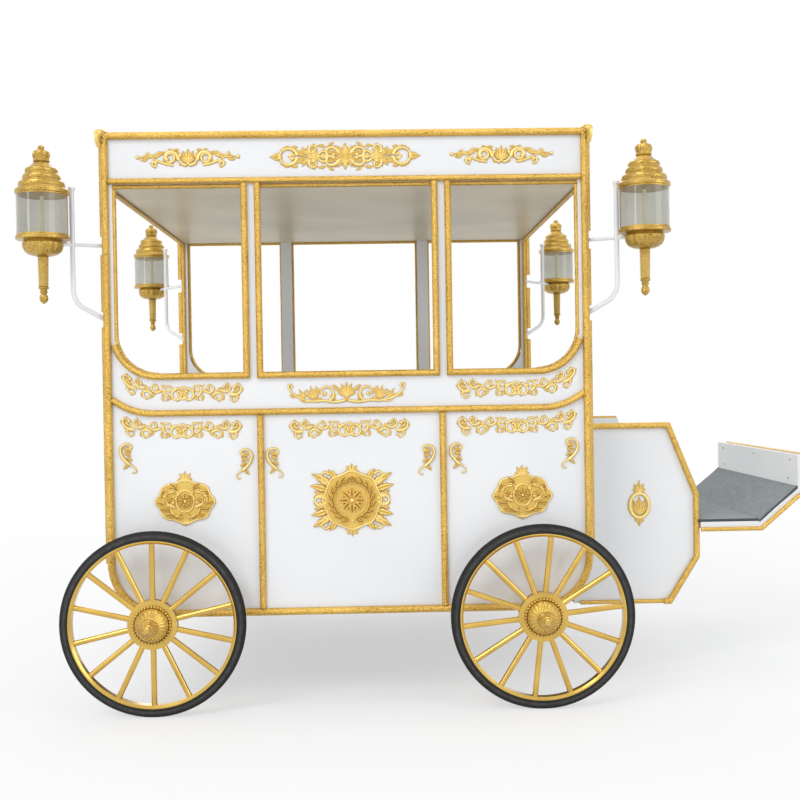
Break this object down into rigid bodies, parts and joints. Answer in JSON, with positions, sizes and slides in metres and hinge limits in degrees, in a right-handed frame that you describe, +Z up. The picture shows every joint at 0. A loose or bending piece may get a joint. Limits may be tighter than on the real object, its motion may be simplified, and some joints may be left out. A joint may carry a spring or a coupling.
{
  "type": "horse-drawn carriage",
  "caption": "White flat-roofed horse-drawn carriage with open windows, gold rope mouldings, spoked wheels, corner lanterns and a driver's box.",
  "frame": {"origin": "on the ground, under the middle of the carriage's overall length and width", "axes": "+X forward towards the footboard, +Y to the carriage's left, +Z up"},
  "size_m": [3.468, 2.432, 2.447],
  "materials": {
    "white_gloss": "high gloss white",
    "gold_rope": "glittering gold rope",
    "wheel_gold": "satin gold",
    "lantern_gold": "matt gold",
    "dark_frame": "semi-gloss black",
    "floor": "sealed board",
    "carpet": "short grey pile",
    "tyre": "matt rubber",
    "lantern_glass": "clear"
  },
  "bodies": {
    "carriage_body": {"chassis_frame": "dark_frame", "rear_axle": "dark_frame", "lantern_front_left": "lantern_gold", "lantern_rear_left": "lantern_gold", "side_lower_left": "white_gloss", "side_frame_left": "white_gloss", "rope_trim_left": "gold_rope", "fascia_left": "white_gloss", "box_side_left": "white_gloss", "lantern_front_right": "lantern_gold", "lantern_rear_right": "lantern_gold", "side_lower_right": "white_gloss", "side_frame_right": "white_gloss", "rope_trim_right": "gold_rope", "fascia_right": "white_gloss", "box_side_right": "white_gloss", "front_wall": "white_gloss", "rope_trim_front": "gold_rope", "fascia_front": "white_gloss", "rear_wall": "white_gloss", "rope_trim_rear": "gold_rope", "fascia_rear": "white_gloss", "floor_deck": "floor", "ceiling_panel": "white_gloss", "roof_panel": "white_gloss", "door_hinges": "white_gloss", "box_front": "white_gloss", "box_seat": "white_gloss", "rope_trim_box": "gold_rope", "footboard_tray": "white_gloss", "footboard_carpet": "carpet", "dash_panel": "white_gloss", "rope_trim_footboard": "gold_rope", "lantern_glass": "lantern_glass", "lantern_brackets": "white_gloss"},
    "fore_carriage": {"front_axle": "dark_frame", "pole_fork": "dark_frame"},
    "rear_door": {"rear_door": "white_gloss", "rope_trim_door": "gold_rope"},
    "wheel_front_left": {"wheel_front_left": "wheel_gold", "tyre_front_left": "tyre"},
    "wheel_rear_left": {"wheel_rear_left": "wheel_gold", "tyre_rear_left": "tyre"},
    "wheel_front_right": {"wheel_front_right": "wheel_gold", "tyre_front_right": "tyre"},
    "wheel_rear_right": {"wheel_rear_right": "wheel_gold", "tyre_rear_right": "tyre"}
  },
  "joints": [
    {"name": "fore_carriage_turn", "type": "hinge", "parent": "carriage_body", "child": "fore_carriage", "pos_m": [0.407, 0, 0.352], "axis": [0, 0, 1], "range_deg": [-8, 8]},
    {"name": "wheel_front_left_spin", "type": "hinge", "parent": "fore_carriage", "child": "wheel_front_left", "pos_m": [0.407, 1.07, 0.3857], "axis": [0, 1, 0], "continuous": true},
    {"name": "wheel_rear_left_spin", "type": "hinge", "parent": "carriage_body", "child": "wheel_rear_left", "pos_m": [-1.215, 1.07, 0.3857], "axis": [0, 1, 0], "continuous": true},
    {"name": "wheel_front_right_spin", "type": "hinge", "parent": "fore_carriage", "child": "wheel_front_right", "pos_m": [0.407, -1.07, 0.3857], "axis": [0, 1, 0], "continuous": true},
    {"name": "wheel_rear_right_spin", "type": "hinge", "parent": "carriage_body", "child": "wheel_rear_right", "pos_m": [-1.215, -1.07, 0.3857], "axis": [0, 1, 0], "continuous": true},
    {"name": "rear_door_swing", "type": "hinge", "parent": "carriage_body", "child": "rear_door", "pos_m": [-1.425, 0.314, 1.02], "axis": [0, 0, -1], "range_deg": [0, 110]}
  ]
}
